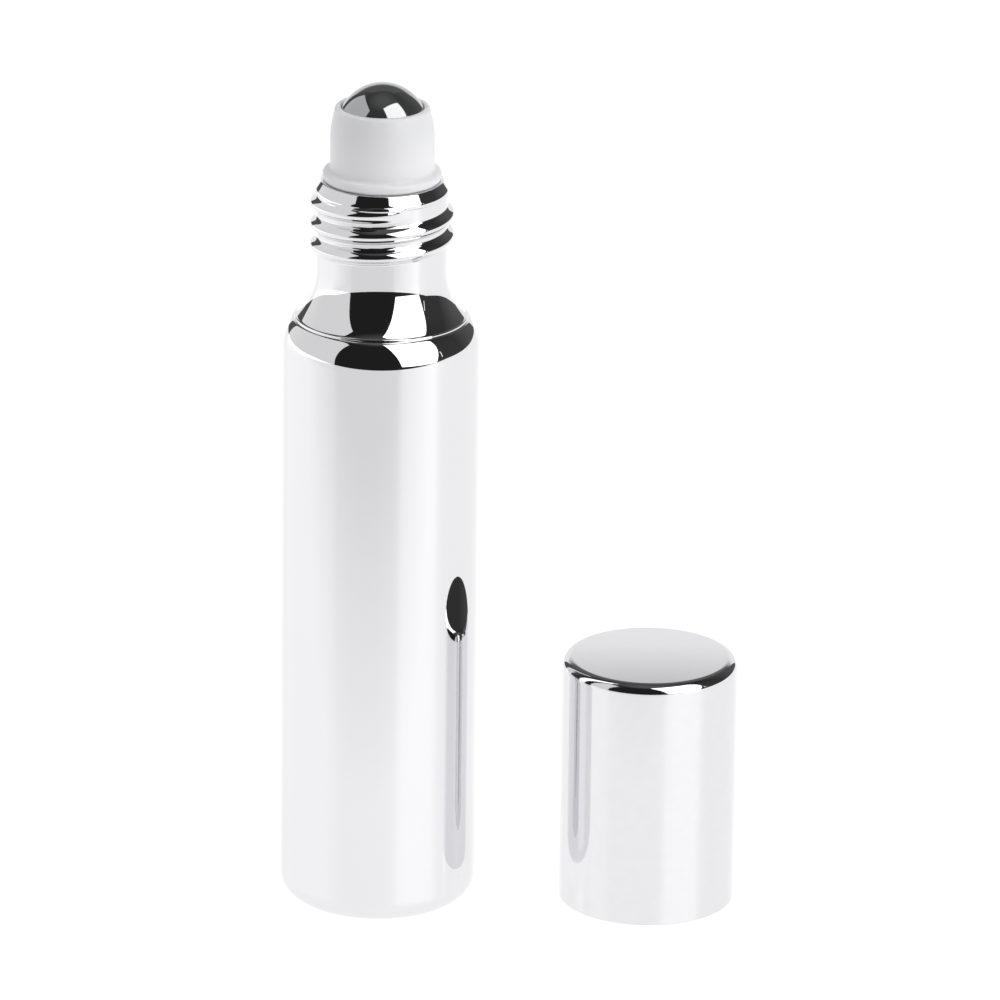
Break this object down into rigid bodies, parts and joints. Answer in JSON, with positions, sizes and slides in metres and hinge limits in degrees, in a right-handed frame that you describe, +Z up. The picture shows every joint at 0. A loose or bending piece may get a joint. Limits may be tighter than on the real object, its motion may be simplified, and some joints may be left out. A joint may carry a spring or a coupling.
{
  "type": "roll on bottle",
  "caption": "Slim round mirror-silver glass roll-on bottle with a screw neck, a white roller housing holding a steel ball, and its bright silver screw cap standing beside it.",
  "frame": {"origin": "centre of the bottle's base, on the surface that the bottle stands on", "axes": "+Z up along the bottle's axis, +X from the bottle towards the cap standing beside it"},
  "size_m": [0.0467, 0.02, 0.0867],
  "materials": {
    "plated_glass": "polished",
    "white_polyethylene": "satin",
    "polished_steel": "polished",
    "bright_aluminium": "polished",
    "white_polypropylene": "satin"
  },
  "bodies": {
    "bottle": {"bottle": "plated_glass"},
    "roller": {"roller_housing": "white_polyethylene"},
    "ball": {"roller_ball": "polished_steel"},
    "cap": {"cap_shell": "bright_aluminium", "cap_liner": "white_polypropylene"}
  },
  "joints": [
    {"name": "roller_pull", "type": "slide", "parent": "bottle", "child": "roller", "axis": [0, 0, 1], "range_m": [0, 0.02]},
    {"name": "ball_roll", "type": "hinge", "parent": "roller", "child": "ball", "pos_m": [0, 0, 0.08207], "axis": [1, 0, 0], "continuous": true},
    {"name": "cap_lift", "type": "slide", "parent": "bottle", "child": "cap", "axis": [0, 0, 1], "range_m": [0, 0.09]}
  ]
}
